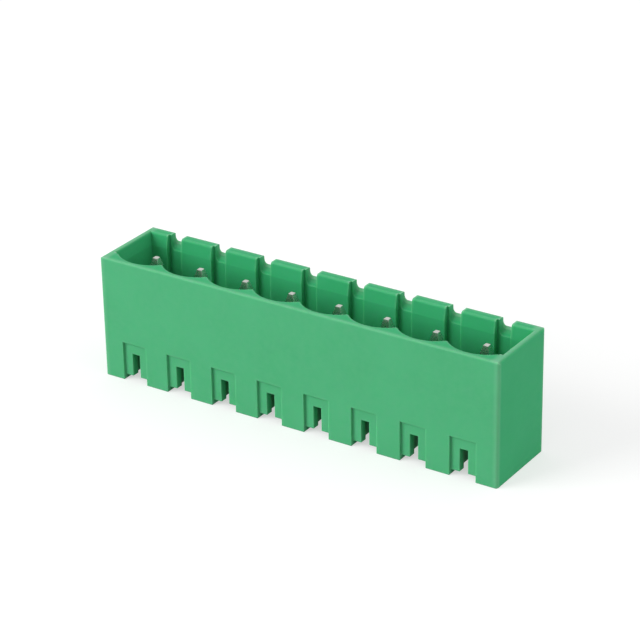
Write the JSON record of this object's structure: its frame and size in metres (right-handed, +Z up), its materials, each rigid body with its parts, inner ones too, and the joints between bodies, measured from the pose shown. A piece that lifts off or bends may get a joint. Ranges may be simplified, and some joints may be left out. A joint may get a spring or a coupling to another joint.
{
  "type": "terminal block header",
  "caption": "Upright pluggable terminal block header: open-top green plastic housing with a scalloped front wall, a notched back wall and a row of square tinned pins for a circuit board.",
  "frame": {"origin": "on the board plane, where the feet stand, under the middle of the housing", "axes": "+X along the row of pins, +Y from the scalloped front wall to the notched back wall, +Z up out of the mouth"},
  "size_m": [0.0426, 0.0082, 0.0122],
  "materials": {
    "housing": "satin moulded",
    "pins": "tin plated"
  },
  "bodies": {
    "root": {"housing": "housing", "pin_1": "pins", "pin_2": "pins", "pin_3": "pins", "pin_4": "pins", "pin_5": "pins", "pin_6": "pins", "pin_7": "pins", "pin_8": "pins"}
  },
  "joints": []
}
